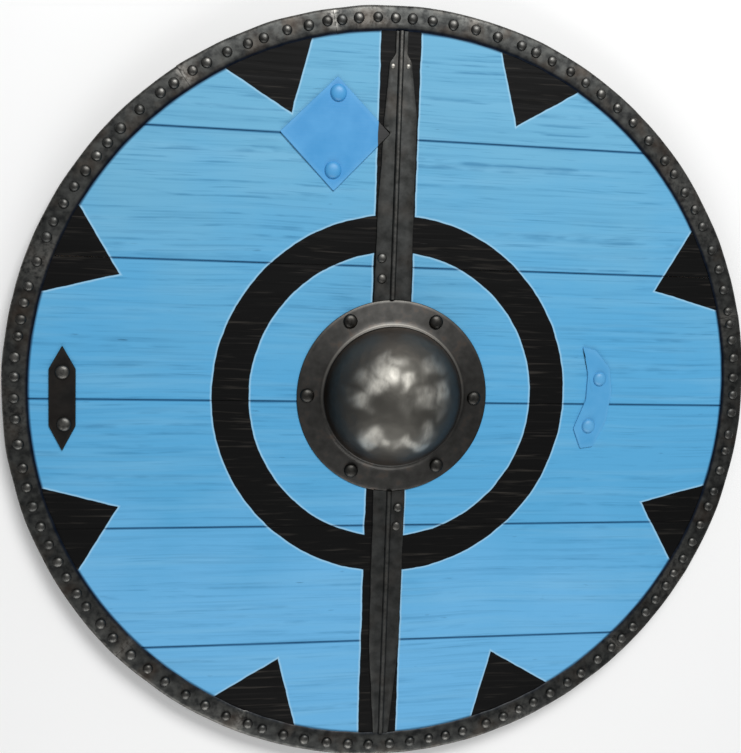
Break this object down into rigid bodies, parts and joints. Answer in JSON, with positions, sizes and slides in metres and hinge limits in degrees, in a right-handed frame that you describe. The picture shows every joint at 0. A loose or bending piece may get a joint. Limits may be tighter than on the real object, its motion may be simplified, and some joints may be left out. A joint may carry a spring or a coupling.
{
  "type": "wooden round shield",
  "caption": "Flat round plank shield with a domed iron boss, riveted iron rim, ribbed straps, mending plates and a batten grip behind.",
  "frame": {"origin": "on the floor under the middle of the shield, which lies on its grip with the painted front up", "axes": "+Z out of the painted front, +Y towards the top of the shield, +X to the right as seen from the front"},
  "size_m": [0.8, 0.8, 0.0846],
  "materials": {
    "painted_boards": "light blue and black paint on sawn softwood boards, satin, with grain and cracks",
    "bare_wood": "bare planed wood, oiled by handling",
    "dark_iron": "dark wrought iron, rubbed lighter on edges",
    "boss_iron": "beaten dark iron, burnished in patches",
    "bright_iron": "bright filed nail heads",
    "painted_plate": "sheet iron painted over with the same light blue"
  },
  "bodies": {
    "root": {"board_1": "painted_boards", "board_2": "painted_boards", "board_3": "painted_boards", "board_4": "painted_boards", "board_5": "painted_boards", "board_6": "painted_boards", "rim_section_1": "dark_iron", "rim_section_2": "dark_iron", "rim_section_3": "dark_iron", "rim_section_4": "dark_iron", "rim_section_5": "dark_iron", "rim_section_6": "dark_iron", "boss": "boss_iron", "strap_upper": "dark_iron", "strap_lower": "dark_iron", "diamond_plate": "painted_plate", "hex_plate": "dark_iron", "patch_plate": "painted_plate", "grip": "bare_wood", "boss_rivet_1": "boss_iron", "boss_rivet_2": "boss_iron", "boss_rivet_3": "boss_iron", "boss_rivet_4": "boss_iron", "boss_rivet_5": "boss_iron", "boss_rivet_6": "boss_iron", "strap_rivet_1": "dark_iron", "strap_rivet_2": "dark_iron", "strap_rivet_3": "dark_iron", "strap_rivet_4": "dark_iron", "strap_tack_1": "bright_iron", "strap_tack_2": "bright_iron", "diamond_rivet_1": "painted_plate", "diamond_rivet_2": "painted_plate", "hex_rivet_1": "dark_iron", "hex_rivet_2": "dark_iron", "patch_rivet_1": "painted_plate", "patch_rivet_2": "painted_plate"}
  },
  "joints": []
}
